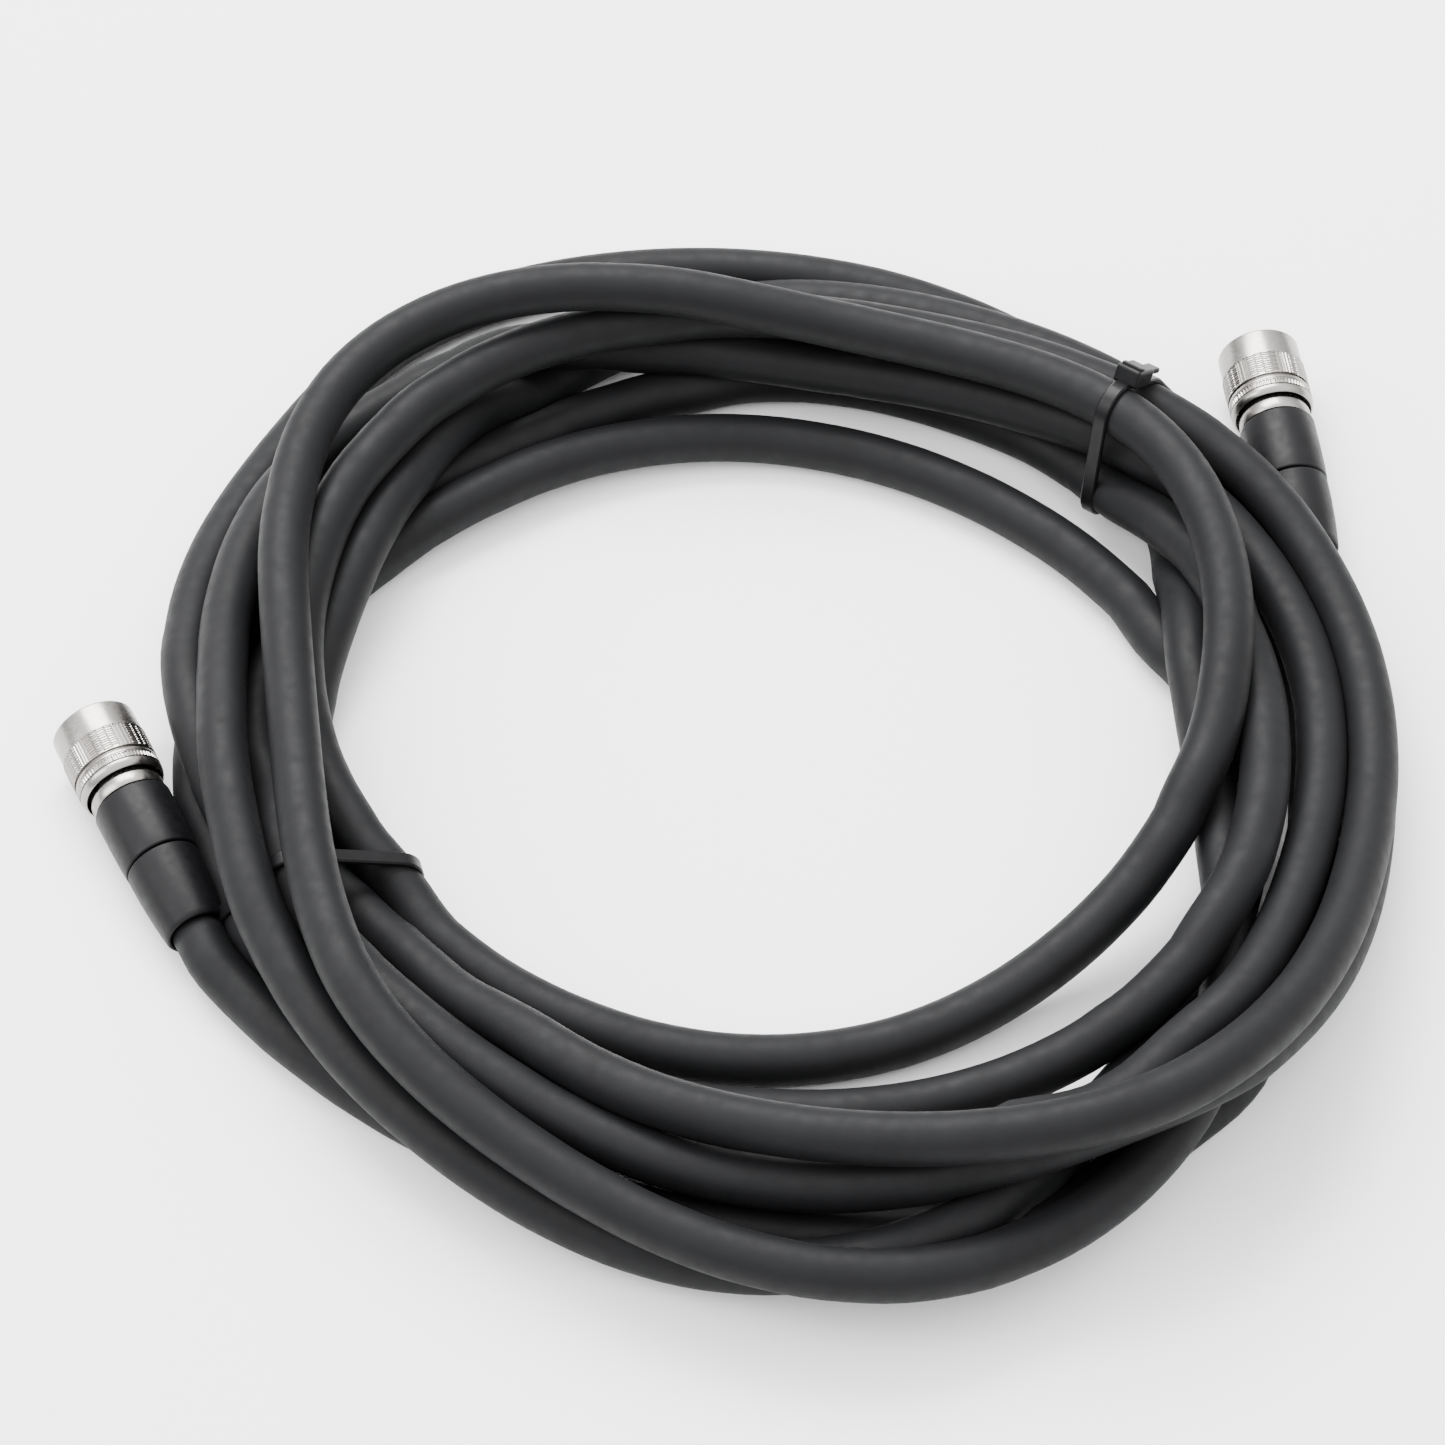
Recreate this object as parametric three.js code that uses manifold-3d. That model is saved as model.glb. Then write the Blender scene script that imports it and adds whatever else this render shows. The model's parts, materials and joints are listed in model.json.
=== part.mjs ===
// A round multi-core camera cable wound into a loose flat coil. Two ties hold the turns, and each end of
// the cable leaves the coil in a push-pull circular plug. Millimetres, +Z up; the coil lies on z = 0.
// The coil is one ring whose section is a heap of round strands, so its turns show as ridges.
import * as THREE from 'three';
import { mergeVertices } from 'three/addons/utils/BufferGeometryUtils.js';
import Module from 'manifold-3d';

const wasm = await Module();
wasm.setup();

// Clearance between pieces that touch on the real thing
const GAP = 0.3;

// Cable and coil
const CABLE_DIAMETER = 8.2;
const CABLE_SIDES = 10;
const COIL_BORE_RADIUS = 65;
const STRAND_PITCH = 9.6;
// Each row of the heap: how many strands, and the first one's place in pitches
const COIL_ROWS = [[4, 0], [3, 0.5], [1, 2]];
// How far each valley between two strands is filled, as an angle on the strand
const VALLEY_FILL = THREE.MathUtils.degToRad(30);
// The coil is slightly oval: its long axis, and its stretch along and across it
const COIL_LONG_AXIS = THREE.MathUtils.degToRad(112);
const COIL_STRETCH_LONG = 1.07;
const COIL_STRETCH_SHORT = 0.965;
const COIL_SEGMENTS = 54;

// Plug, measured along its axis from the front rim, and its radii
const SLEEVE_LENGTH = 13.6;
const SLEEVE_TRAVEL = 1.5;
const SLEEVE_FRONT_RADIUS = 6.95;
const SLEEVE_KNURL_RADIUS = 7.15;
const SLEEVE_GROOVE_RADIUS = 6.75;
const SLEEVE_MOUTH_RADIUS = 6.35;
const SLEEVE_GUIDE_RADIUS = 5.9;
const SLEEVE_REAR_BORE_RADIUS = 6.5;
const SLEEVE_EDGE = 0.35;
const FRONT_BAND_END = 5;
const KNURL_END = 9.7;
const GROOVE_WIDTH = 0.4;
const BRIGHT_RING_WIDTH = 0.8;
const SECOND_KNURL_WIDTH = 1.1;
const REAR_CHAMFER = 0.6;
const GUIDE_START = 7.2;
const GUIDE_WIDTH = 3;
const SHELL_FRONT = 0.8;
const SHELL_NOSE_RADIUS = 5.2;
const SHELL_BORE_RADIUS = 4.65;
const SHELL_BORE_DEPTH = 9;
const REAR_RING_START = 14.2;
const REAR_RING_END = 16.4;
const REAR_RING_RADIUS = 6.15;
const INSERT_RECESS = 0.5;
const CONTACT_RINGS = [[9, 3.05], [3, 1.15]];
const CONTACT_RADIUS = 0.42;
const BACKSHELL_FRONT_RADIUS = 6.45;
const BACKSHELL_REAR_RADIUS = 6.1;
const BACKSHELL_LENGTH = 12.4;
const RELIEF_FRONT_RADIUS = 5.85;
const RELIEF_REAR_RADIUS = 4.95;
const RELIEF_LENGTH = 14;
const RELIEF_SOCKET_DEPTH = 3.5;
const EDGE_ROUND = 0.4;
const PLUG_SIDES = 32;

// Cable tie
const STRAP_WIDTH = 2.5;
const STRAP_THICKNESS = 1.1;
const HEAD_LENGTH = 5.6;
const HEAD_WIDTH = 4.8;
const HEAD_HEIGHT = 3.4;
const STUB_LENGTH = 4.2;
// How far the ties pull the loose turns together, on each side
const TIE_PINCH = 2.1;

// Where the ties cross the coil, and where on the section each head sits
const UPPER_TIE_ANGLE = THREE.MathUtils.degToRad(46);
const LOWER_TIE_ANGLE = THREE.MathUtils.degToRad(-153);
const UPPER_HEAD_ANGLE = THREE.MathUtils.degToRad(78);
const LOWER_HEAD_ANGLE = THREE.MathUtils.degToRad(180);

// The two ends of the cable. Each leaves the coil at an angle round it, and is measured from the middle
// of the outer strand there: the middle of the plug's front rim, the middle of the strain relief's rear
// end, and the free stretch of cable from there to the coil
const LEFT_END = {
  angle: THREE.MathUtils.degToRad(-141),
  front: [-37.4, 61, 7.75],
  rear: [-18, 21.9, 5.6],
  tail: [[-15.6, 14.2, 5], [-10.8, 7.4, 4.4], [-4.6, 1.2, 4.1]],
};
const RIGHT_END = {
  angle: THREE.MathUtils.degToRad(15),
  front: [-8.9, 58.2, 7.75],
  rear: [-3, 15, 5.6],
  tail: [[-2.1, 9.1, 4.7], [-1.4, 3.1, 4.1]],
};
const TAIL_STEPS_PER_POINT = 2;

// Worked out from the values above
const CABLE_RADIUS = CABLE_DIAMETER / 2;
const HALF_SIDE = Math.PI / CABLE_SIDES;
const STRAND_FLAT = CABLE_RADIUS * Math.cos(HALF_SIDE);
const ROW_RISE = Math.sqrt(CABLE_DIAMETER ** 2 - (STRAND_PITCH / 2) ** 2);
const FIRST_STRAND_RADIUS = COIL_BORE_RADIUS + CABLE_RADIUS;
const OUTER_STRAND_RADIUS = FIRST_STRAND_RADIUS + (COIL_ROWS[0][0] - 1) * STRAND_PITCH;
const BACKSHELL_START = REAR_RING_END + GAP;
const RELIEF_START = BACKSHELL_START + BACKSHELL_LENGTH + GAP;
const PLUG_LENGTH = RELIEF_START + RELIEF_LENGTH;
const INSERT_FRONT = SHELL_FRONT + INSERT_RECESS;

const JACKET = { color: 0x3d3e40, roughness: 0.62, metalness: 0 };
const BLACK_PLASTIC = { color: 0x1f2022, roughness: 0.45, metalness: 0 };
const NICKEL = { color: 0xc9c6c1, roughness: 0.35, metalness: 1 };
const NYLON = { color: 0x17181a, roughness: 0.4, metalness: 0 };

function named(geometry, name, finish) {
  const mesh = new THREE.Mesh(geometry, new THREE.MeshStandardMaterial(finish));
  mesh.name = name;
  return mesh;
}

// A closed mesh as a solid for cutting and joining, and back again
function toSolid(geometry) {
  const bare = geometry.clone();
  bare.deleteAttribute('normal');
  bare.deleteAttribute('uv');
  const merged = mergeVertices(bare, 1e-4);
  return new wasm.Manifold(new wasm.Mesh({
    numProp: 3,
    vertProperties: new Float32Array(merged.attributes.position.array),
    triVerts: new Uint32Array(merged.index.array),
  }));
}

function toGeometry(solid) {
  const { vertProperties, triVerts, numProp } = solid.getMesh();
  const positions = [];
  for (let i = 0; i < vertProperties.length; i += numProp) {
    positions.push(vertProperties[i], vertProperties[i + 1], vertProperties[i + 2]);
  }
  const geometry = new THREE.BufferGeometry();
  geometry.setAttribute('position', new THREE.Float32BufferAttribute(positions, 3));
  geometry.setIndex(Array.from(triVerts));
  geometry.computeVertexNormals();
  return geometry;
}

// The strands of the coil's section that show on its outside, counter-clockwise from the inner bottom one
function boundaryStrands() {
  const rows = COIL_ROWS.map(([count, first], row) => Array.from({ length: count }, (_, i) => (
    new THREE.Vector2((first + i) * STRAND_PITCH, row * ROW_RISE))));
  const top = rows.length - 1;
  const order = [...rows[0]];
  for (let row = 1; row < top; row += 1) {
    const edge = rows[row + 1].at(-1).x;
    order.push(...rows[row].filter((strand) => strand.x > edge).reverse());
  }
  order.push(...[...rows[top]].reverse());
  for (let row = top - 1; row > 0; row -= 1) {
    const edge = rows[row + 1][0].x;
    order.push(...rows[row].filter((strand) => strand.x < edge).reverse());
  }
  return order;
}

const STRANDS = boundaryStrands();

function directionTo(from, to) {
  return Math.atan2(to.y - from.y, to.x - from.x);
}

// The coil's section: an arc on each outer strand, with every valley partly filled
function coilSection() {
  const points = [];
  const step = 2 * HALF_SIDE;
  STRANDS.forEach((strand, i) => {
    const before = STRANDS[(i + STRANDS.length - 1) % STRANDS.length];
    const after = STRANDS[(i + 1) % STRANDS.length];
    const start = directionTo(strand, before) + VALLEY_FILL;
    let end = directionTo(strand, after) - VALLEY_FILL;
    while (end < start) end += 2 * Math.PI;
    const corners = [];
    const firstCorner = Math.ceil((start + Math.PI / 2) / step - 0.5) + 0.5;
    for (let k = firstCorner; k * step - Math.PI / 2 < end; k += 1) corners.push(k * step - Math.PI / 2);
    const clear = corners.filter((angle) => Math.min(angle - start, end - angle) >= HALF_SIDE / 2);
    for (const angle of [start, ...clear, end]) {
      points.push(new THREE.Vector2(
        strand.x + CABLE_RADIUS * Math.cos(angle),
        strand.y + Math.max(CABLE_RADIUS * Math.sin(angle), -STRAND_FLAT),
      ));
    }
  });
  return points;
}

// How far the oval stretches a radius at this angle round the coil
function ovalStretch(angle) {
  const along = Math.cos(angle - COIL_LONG_AXIS) / COIL_STRETCH_LONG;
  const across = Math.sin(angle - COIL_LONG_AXIS) / COIL_STRETCH_SHORT;
  return 1 / Math.hypot(along, across);
}

// A point measured from the middle of the outer strand, at an angle round the coil
function fromCoilEdge(angle, [x, y, z]) {
  const radius = OUTER_STRAND_RADIUS * ovalStretch(angle);
  return new THREE.Vector3(radius * Math.cos(angle) + x, radius * Math.sin(angle) + y, z);
}

function coilRing() {
  const profile = coilSection().map((p) => new THREE.Vector2(FIRST_STRAND_RADIUS + p.x, STRAND_FLAT + p.y));
  profile.push(profile[0].clone());
  const ring = new THREE.LatheGeometry(profile, COIL_SEGMENTS);
  ring.rotateX(Math.PI / 2);
  ring.scale(COIL_STRETCH_LONG, COIL_STRETCH_SHORT, 1);
  ring.rotateZ(COIL_LONG_AXIS);
  return ring;
}

// The strands' outer hull, pushed out by a distance, with round corners
function hullOutline(distance) {
  const hull = STRANDS.filter((strand, i) => {
    const before = STRANDS[(i + STRANDS.length - 1) % STRANDS.length];
    const after = STRANDS[(i + 1) % STRANDS.length];
    const inwards = new THREE.Vector2().subVectors(strand, before);
    const onwards = new THREE.Vector2().subVectors(after, strand);
    return inwards.cross(onwards) > 1;
  });
  const corners = [];
  hull.forEach((strand, i) => {
    const before = hull[(i + hull.length - 1) % hull.length];
    const after = hull[(i + 1) % hull.length];
    const start = directionTo(before, strand) - Math.PI / 2;
    let end = directionTo(strand, after) - Math.PI / 2;
    while (end < start) end += 2 * Math.PI;
    const steps = Math.max(1, Math.round((end - start) / HALF_SIDE));
    for (let k = 0; k <= steps; k += 1) {
      const angle = start + ((end - start) * k) / steps;
      corners.push(new THREE.Vector2(
        strand.x + distance * Math.cos(angle),
        strand.y + distance * Math.sin(angle),
      ));
    }
  });
  return corners;
}

// A closed band round the section, from one distance to another outside the strands' hull
function bandGeometry(inner, outer, width, stretch) {
  const place = (p) => new THREE.Vector2((FIRST_STRAND_RADIUS + p.x) * stretch, STRAND_FLAT + p.y);
  const shape = new THREE.Shape(hullOutline(outer).map(place));
  shape.holes.push(new THREE.Path(hullOutline(inner).map(place).reverse()));
  const band = new THREE.ExtrudeGeometry(shape, { depth: width, bevelEnabled: false });
  return band.translate(0, 0, -width / 2);
}

// Turns a shape drawn as radius and height into the upright plane at this angle round the coil
function atAngle(geometry, angle) {
  const radial = new THREE.Vector3(Math.cos(angle), Math.sin(angle), 0);
  const up = new THREE.Vector3(0, 0, 1);
  const along = new THREE.Vector3().crossVectors(radial, up);
  return geometry.applyMatrix4(new THREE.Matrix4().makeBasis(radial, up, along));
}

const STRAP_OUTER = STRAND_FLAT - TIE_PINCH;
const STRAP_INNER = STRAP_OUTER - STRAP_THICKNESS;

// The place on the strap whose outward direction is this angle, in radius and height
function strapPlace(headAngle, stretch) {
  const outward = new THREE.Vector2(Math.cos(headAngle), Math.sin(headAngle));
  const furthest = Math.max(...STRANDS.map((strand) => strand.dot(outward)));
  const strand = STRANDS.find((s) => s.dot(outward) === furthest);
  return new THREE.Vector2(
    (FIRST_STRAND_RADIUS + strand.x) * stretch + outward.x * STRAP_OUTER,
    STRAND_FLAT + strand.y + outward.y * STRAP_OUTER,
  );
}

// The head block on the outside of the strap and the cut-off stub that comes out of it
function headBlocks(headAngle, stretch, margin) {
  const place = strapPlace(headAngle, stretch);
  const sink = STRAP_THICKNESS / 2;
  const [length, height, width] = [HEAD_LENGTH, HEAD_HEIGHT + sink, HEAD_WIDTH].map((size) => size + 2 * margin);
  const head = new THREE.BoxGeometry(length, height, width);
  head.translate(0, (HEAD_HEIGHT - sink) / 2, 0);
  const stub = new THREE.BoxGeometry(STUB_LENGTH + sink, STRAP_THICKNESS + 2 * margin, STRAP_WIDTH + 2 * margin);
  stub.translate((HEAD_LENGTH + STUB_LENGTH - sink) / 2 + margin, HEAD_HEIGHT / 2, 0);
  for (const block of [head, stub]) {
    block.rotateZ(headAngle - Math.PI / 2);
    block.translate(place.x, place.y, 0);
  }
  return [head, stub];
}

// A strap round the section with its head and stub, as one solid
function cableTie({ angle, headAngle, name }) {
  const stretch = ovalStretch(angle);
  let tie = toSolid(bandGeometry(STRAP_INNER, STRAP_OUTER, STRAP_WIDTH, stretch));
  for (const block of headBlocks(headAngle, stretch, 0)) tie = tie.add(toSolid(block));
  return named(atAngle(toGeometry(tie), angle), name, NYLON);
}

// The room that a tie needs in the coil, which it pinches
function tieNotches({ angle, headAngle }) {
  const stretch = ovalStretch(angle);
  const band = bandGeometry(STRAP_INNER - GAP, CABLE_DIAMETER, STRAP_WIDTH + 2 * GAP, stretch);
  return [band, ...headBlocks(headAngle, stretch, GAP)].map((geometry) => toSolid(atAngle(geometry, angle)));
}

const TIES = [
  { name: 'cable_tie_upper', angle: UPPER_TIE_ANGLE, headAngle: UPPER_HEAD_ANGLE },
  { name: 'cable_tie_lower', angle: LOWER_TIE_ANGLE, headAngle: LOWER_HEAD_ANGLE },
];

function turned(points) {
  const profile = points.map(([radius, along]) => new THREE.Vector2(radius, along));
  return new THREE.LatheGeometry(profile, PLUG_SIDES);
}

function couplingSleeve(name) {
  const ringStart = KNURL_END + GROOVE_WIDTH;
  const secondStart = ringStart + BRIGHT_RING_WIDTH;
  const secondEnd = secondStart + SECOND_KNURL_WIDTH;
  return named(turned([
    [SLEEVE_MOUTH_RADIUS, 0],
    [SLEEVE_FRONT_RADIUS - SLEEVE_EDGE, 0],
    [SLEEVE_FRONT_RADIUS, SLEEVE_EDGE],
    [SLEEVE_FRONT_RADIUS, FRONT_BAND_END],
    [SLEEVE_KNURL_RADIUS, FRONT_BAND_END],
    [SLEEVE_KNURL_RADIUS, KNURL_END],
    [SLEEVE_GROOVE_RADIUS, KNURL_END],
    [SLEEVE_GROOVE_RADIUS, ringStart],
    [SLEEVE_FRONT_RADIUS, ringStart],
    [SLEEVE_FRONT_RADIUS, secondStart],
    [SLEEVE_KNURL_RADIUS, secondStart],
    [SLEEVE_KNURL_RADIUS, secondEnd],
    [SLEEVE_FRONT_RADIUS, secondEnd],
    [SLEEVE_FRONT_RADIUS, SLEEVE_LENGTH - REAR_CHAMFER],
    [SLEEVE_FRONT_RADIUS - REAR_CHAMFER / 2, SLEEVE_LENGTH],
    [SLEEVE_REAR_BORE_RADIUS, SLEEVE_LENGTH],
    [SLEEVE_REAR_BORE_RADIUS, GUIDE_START + GUIDE_WIDTH],
    [SLEEVE_GUIDE_RADIUS, GUIDE_START + GUIDE_WIDTH],
    [SLEEVE_GUIDE_RADIUS, GUIDE_START],
    [SLEEVE_MOUTH_RADIUS, GUIDE_START],
    [SLEEVE_MOUTH_RADIUS, 0],
  ]), name, NICKEL);
}

function plugShell(name) {
  const guideRadius = SLEEVE_GUIDE_RADIUS - GAP;
  const shoulder = GUIDE_START - SHELL_FRONT - GAP;
  return named(turned([
    [0, SHELL_FRONT + SHELL_BORE_DEPTH],
    [SHELL_BORE_RADIUS, SHELL_FRONT + SHELL_BORE_DEPTH],
    [SHELL_BORE_RADIUS, SHELL_FRONT],
    [SHELL_NOSE_RADIUS, SHELL_FRONT],
    [SHELL_NOSE_RADIUS, shoulder],
    [guideRadius, shoulder],
    [guideRadius, REAR_RING_START],
    [REAR_RING_RADIUS, REAR_RING_START],
    [REAR_RING_RADIUS, REAR_RING_END],
    [0, REAR_RING_END],
  ]), name, NICKEL);
}

// The insulator that holds the contacts: a block with a hole right through for each contact
function contactInsert(name) {
  const shape = new THREE.Shape();
  shape.absarc(0, 0, SHELL_BORE_RADIUS - GAP, 0, 2 * Math.PI);
  for (const [count, ringRadius] of CONTACT_RINGS) {
    for (let i = 0; i < count; i += 1) {
      const angle = (2 * Math.PI * (i + 0.5)) / count;
      const socket = new THREE.Path();
      socket.absarc(ringRadius * Math.cos(angle), ringRadius * Math.sin(angle), CONTACT_RADIUS, 0, 2 * Math.PI, true);
      shape.holes.push(socket);
    }
  }
  const depth = SHELL_BORE_DEPTH - INSERT_RECESS - GAP;
  const insert = new THREE.ExtrudeGeometry(shape, { depth, bevelEnabled: false, curveSegments: 4 });
  insert.rotateX(-Math.PI / 2);
  insert.translate(0, INSERT_FRONT, 0);
  return named(insert, name, BLACK_PLASTIC);
}

function backshell(name) {
  const end = BACKSHELL_START + BACKSHELL_LENGTH;
  return named(turned([
    [0, BACKSHELL_START],
    [BACKSHELL_FRONT_RADIUS - EDGE_ROUND, BACKSHELL_START],
    [BACKSHELL_FRONT_RADIUS, BACKSHELL_START + EDGE_ROUND],
    [BACKSHELL_REAR_RADIUS, end - EDGE_ROUND],
    [BACKSHELL_REAR_RADIUS - EDGE_ROUND, end],
    [0, end],
  ]), name, BLACK_PLASTIC);
}

// The boot that the cable goes into, with a socket for the cable's end
function strainRelief(name) {
  const socketRadius = CABLE_RADIUS + GAP;
  const socketFloor = PLUG_LENGTH - RELIEF_SOCKET_DEPTH;
  return named(turned([
    [0, RELIEF_START],
    [RELIEF_FRONT_RADIUS, RELIEF_START],
    [RELIEF_REAR_RADIUS, PLUG_LENGTH - EDGE_ROUND / 2],
    [RELIEF_REAR_RADIUS - EDGE_ROUND / 2, PLUG_LENGTH],
    [socketRadius, PLUG_LENGTH],
    [socketRadius, socketFloor],
    [0, socketFloor],
  ]), name, BLACK_PLASTIC);
}

// The space that a plug needs, its sleeve's travel and the clearance included
function plugEnvelope() {
  const sleeveEnd = SLEEVE_LENGTH + SLEEVE_TRAVEL + GAP;
  return turned([
    [0, -GAP],
    [SLEEVE_KNURL_RADIUS + GAP, -GAP],
    [SLEEVE_KNURL_RADIUS + GAP, sleeveEnd],
    [BACKSHELL_FRONT_RADIUS + GAP, sleeveEnd],
    [BACKSHELL_FRONT_RADIUS + GAP, BACKSHELL_START + EDGE_ROUND],
    [BACKSHELL_REAR_RADIUS + GAP, RELIEF_START],
    [RELIEF_REAR_RADIUS + GAP, PLUG_LENGTH],
    [RELIEF_REAR_RADIUS + GAP, PLUG_LENGTH + GAP],
    [0, PLUG_LENGTH + GAP],
  ]);
}

// Where an end's plug starts, and the direction from its front to its cable
function plugAxis({ angle, front, rear }) {
  const start = fromCoilEdge(angle, front);
  const axis = fromCoilEdge(angle, rear).sub(start).normalize();
  return { start, axis };
}

function plugMatrix(cableEnd) {
  const { start, axis } = plugAxis(cableEnd);
  const turn = new THREE.Quaternion().setFromUnitVectors(new THREE.Vector3(0, 1, 0), axis);
  return new THREE.Matrix4().compose(start, turn, new THREE.Vector3(1, 1, 1));
}

function plug(cableEnd, side) {
  const group = new THREE.Group();
  group.add(
    couplingSleeve(`coupling_sleeve_${side}`),
    plugShell(`plug_shell_${side}`),
    contactInsert(`contact_insert_${side}`),
    backshell(`backshell_${side}`),
    strainRelief(`strain_relief_${side}`),
  );
  group.applyMatrix4(plugMatrix(cableEnd));
  return group;
}

// The cable's route from the floor of its socket in the strain relief to the coil
function tailCurve(cableEnd) {
  const { start, axis } = plugAxis(cableEnd);
  const socketStart = start.clone().addScaledVector(axis, PLUG_LENGTH - RELIEF_SOCKET_DEPTH + GAP);
  const exit = start.clone().addScaledVector(axis, PLUG_LENGTH + GAP);
  const free = cableEnd.tail.map((point) => fromCoilEdge(cableEnd.angle, point));
  return new THREE.CatmullRomCurve3([socketStart, exit, ...free]);
}

function tubeAlong(curve, radius, steps) {
  const section = new THREE.Shape(Array.from({ length: CABLE_SIDES }, (_, i) => new THREE.Vector2(
    radius * Math.cos(2 * HALF_SIDE * i),
    radius * Math.sin(2 * HALF_SIDE * i),
  )));
  return new THREE.ExtrudeGeometry(section, { steps, bevelEnabled: false, extrudePath: curve });
}

function tailSteps({ points }) {
  return TAIL_STEPS_PER_POINT * (points.length - 1);
}

function cableTail(cableEnd, name) {
  const curve = tailCurve(cableEnd);
  return named(tubeAlong(curve, CABLE_RADIUS, tailSteps(curve)), name, JACKET);
}

// The same tube, wider and longer by the clearance, so that the coil ends just short of it
function tailEnvelope(cableEnd) {
  const curve = tailCurve(cableEnd);
  const end = curve.getPoint(1).addScaledVector(curve.getTangent(1), GAP);
  const longer = new THREE.CatmullRomCurve3([...curve.points, end]);
  return tubeAlong(longer, CABLE_RADIUS + GAP, tailSteps(longer));
}

function cableCoil() {
  let coil = toSolid(coilRing());
  const cuts = TIES.flatMap(tieNotches);
  for (const cableEnd of [LEFT_END, RIGHT_END]) {
    cuts.push(toSolid(plugEnvelope().applyMatrix4(plugMatrix(cableEnd))));
    cuts.push(toSolid(tailEnvelope(cableEnd)));
  }
  for (const cut of cuts) coil = coil.subtract(cut);
  return named(toGeometry(coil), 'cable_coil', JACKET);
}

const assembly = new THREE.Group();
assembly.add(
  cableCoil(),
  cableTail(LEFT_END, 'cable_tail_left'),
  cableTail(RIGHT_END, 'cable_tail_right'),
  ...TIES.map(cableTie),
  plug(LEFT_END, 'left'),
  plug(RIGHT_END, 'right'),
);

// The frame's origin is the middle of the whole part's footprint, on the surface that it lies on
const extent = new THREE.Box3().setFromObject(assembly, true);
const middle = extent.getCenter(new THREE.Vector3());
assembly.position.set(-middle.x, -middle.y, -extent.min.z);

const part = new THREE.Group();
part.add(assembly);
export default part;
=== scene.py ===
"""A round multi-core camera cable in a loose coil, with two cable ties and a push-pull plug on each end.

The cable is one piece of its real length. Its route was read from the photograph as stations along each
strand, and a short relaxation settles it: strands push each other apart, sink under their own weight and
keep to their lines of sight.
"""
import json
import math

import bmesh
import bpy
import numpy as np
from mathutils import Matrix, Vector


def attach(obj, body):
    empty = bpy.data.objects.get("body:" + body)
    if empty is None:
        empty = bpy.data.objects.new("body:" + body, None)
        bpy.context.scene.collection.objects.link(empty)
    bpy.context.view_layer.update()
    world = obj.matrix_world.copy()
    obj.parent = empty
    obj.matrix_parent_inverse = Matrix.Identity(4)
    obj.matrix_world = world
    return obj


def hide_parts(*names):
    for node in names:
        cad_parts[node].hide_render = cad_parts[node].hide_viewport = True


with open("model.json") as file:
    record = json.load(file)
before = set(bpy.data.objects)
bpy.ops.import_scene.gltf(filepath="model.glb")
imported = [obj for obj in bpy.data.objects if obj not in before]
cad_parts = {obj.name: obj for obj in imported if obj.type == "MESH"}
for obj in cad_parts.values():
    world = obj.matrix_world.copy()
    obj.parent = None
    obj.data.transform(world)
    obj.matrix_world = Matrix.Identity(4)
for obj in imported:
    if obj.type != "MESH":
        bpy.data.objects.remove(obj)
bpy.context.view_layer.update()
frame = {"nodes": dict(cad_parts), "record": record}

MM = 0.001
SIDES = ("left", "right")

# The photo's camera, with the cable route's numbers in millimetres
PHOTO_SIZE = 1445
PHOTO_CENTRE = PHOTO_SIZE / 2
CAMERA_ELEVATION = math.radians(52)
CAMERA_DISTANCE = 800.0
PIXELS_PER_MM = 6.1
FOCAL_PIXELS = PIXELS_PER_MM * CAMERA_DISTANCE
SENSOR_MM = 36.0
LOOK_AT = np.array([-0.82, 8.47, 0.0])
VIEW = np.array([0, math.cos(CAMERA_ELEVATION), -math.sin(CAMERA_ELEVATION)])
IMAGE_UP = np.array([0, math.sin(CAMERA_ELEVATION), math.cos(CAMERA_ELEVATION)])
IMAGE_RIGHT = np.array([1.0, 0, 0])
CAMERA_PLACE = LOOK_AT - CAMERA_DISTANCE * VIEW

# The cable
CABLE_DIAMETER = 8.2
CABLE_RADIUS = CABLE_DIAMETER / 2
CABLE_SIDES = 28
ROUTE_STEP = 3.0

# The plug, measured along its axis from the front rim
PLUG_LENGTH = 43.4
INSERT_FRONT = 1.3
SLEEVE_END = 13.6
SLEEVE_TRAVEL = 1.5
METAL_END = 16.4
BACKSHELL_START = 16.7
BACKSHELL_END = 29.1
RELIEF_START = 29.4

# The cable's start inside a boot's mouth, and its straight run from there
CABLE_IN_BOOT = 0.5
STRAIGHT_EXIT = 6

# The radii of the spheres that keep the cable off the plugs
SLEEVE_BEAD = 7.2
BACKSHELL_BEAD = 6.5
RELIEF_BEAD = 5.85
RELIEF_BEAD_TAPER = 0.9
BEAD_STEP = 2.5

# How the cable settles, turn by turn: its sinking in mm, its pull back to the lines of sight, its smoothings
# as a reach in nodes and a share, and how far touching nodes are pushed apart as a share of their overlap
SETTLE_TURNS = 420
SINK = 0.08
SIGHT_PULL = 0.45
SMOOTHINGS = ((1, 0.5), (4, 0.4), (8, 0.12))
PUSH = 1.3
PUSHES = 3
NEIGHBOUR_TURNS = 12
NEIGHBOUR_MARGIN = 5
BEAD_MARGIN = 4
OWN_NODES = 6
FIXED_NODES = 3
NODES_BY_PLUG = 9

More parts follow.
